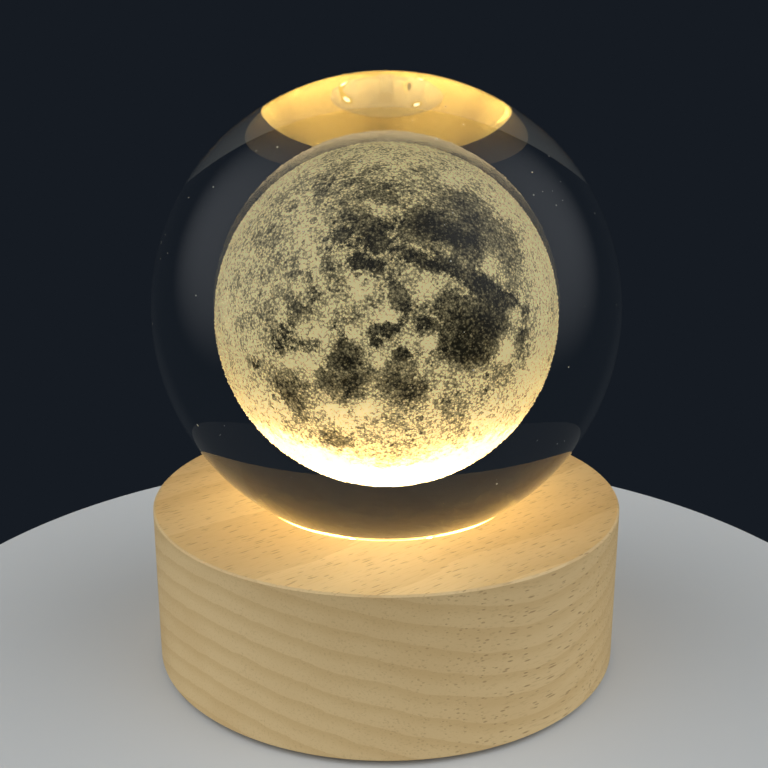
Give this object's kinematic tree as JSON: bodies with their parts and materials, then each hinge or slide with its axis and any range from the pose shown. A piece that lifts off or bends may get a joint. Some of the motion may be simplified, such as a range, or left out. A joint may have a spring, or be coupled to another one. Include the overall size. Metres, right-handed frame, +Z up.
{
  "type": "moon lamp",
  "caption": "Clear crystal ball with a moon engraved inside it, resting in the light well of a round turned wooden base that lights it from below, with a power port and push button at the back.",
  "frame": {"origin": "centre of the plane that the foot pads stand on", "axes": "+Z up along the axis of the base and the ball, -Y towards the front, the port and button face +Y"},
  "size_m": [0.083, 0.083, 0.1023],
  "materials": {
    "beech": "sanded, clear matt oil",
    "crystal": "polished",
    "engraving": "laser engraved, frosted",
    "white_board": "white solder mask",
    "led_body": "moulded",
    "led_window": "clear yellow resin",
    "resistor": "glazed",
    "tin": "bright tin",
    "steel": "zinc plated",
    "bright_steel": "nickel plated",
    "gold_plate": "gold plated",
    "red_insulation": "satin",
    "black_insulation": "satin",
    "black_sleeve": "satin",
    "black_plastic": "fine texture",
    "green_board": "green solder mask",
    "button_plastic": "satin",
    "cover_plastic": "fine texture",
    "rubber": "matt"
  },
  "bodies": {
    "base": {"wood_base": "beech", "led_board": "white_board", "led_packages": "led_body", "led_windows": "led_window", "chip_resistors": "resistor", "resistor_ends": "tin", "board_screws": "steel", "board_solder": "tin", "red_lead": "red_insulation", "black_lead": "black_insulation", "feed_lead": "red_insulation", "heat_shrink_sleeves": "black_sleeve", "rear_panel": "black_plastic", "panel_screws": "steel", "port_shell": "bright_steel", "port_tongue": "black_plastic", "port_contacts": "gold_plate", "port_board": "green_board", "port_board_screw": "steel", "port_solder": "tin", "switch_housing": "black_plastic", "switch_base": "black_plastic", "switch_terminals": "gold_plate", "switch_spring": "bright_steel", "bottom_cover": "cover_plastic", "cover_screws": "steel", "foot_pads": "rubber"},
    "ball": {"crystal_ball": "crystal", "moon_engraving": "engraving"},
    "button": {"switch_button": "button_plastic", "contact_bridge": "gold_plate"}
  },
  "joints": [
    {"name": "ball_lift", "type": "slide", "parent": "base", "child": "ball", "axis": [0, 0, 1], "range_m": [0, 0.06]},
    {"name": "button_press", "type": "slide", "parent": "base", "child": "button", "axis": [0, -1, 0], "range_m": [0, 0.0012], "stiffness_N_per_m": 400, "springref_m": -0.001, "deforming": ["switch_spring"]}
  ]
}
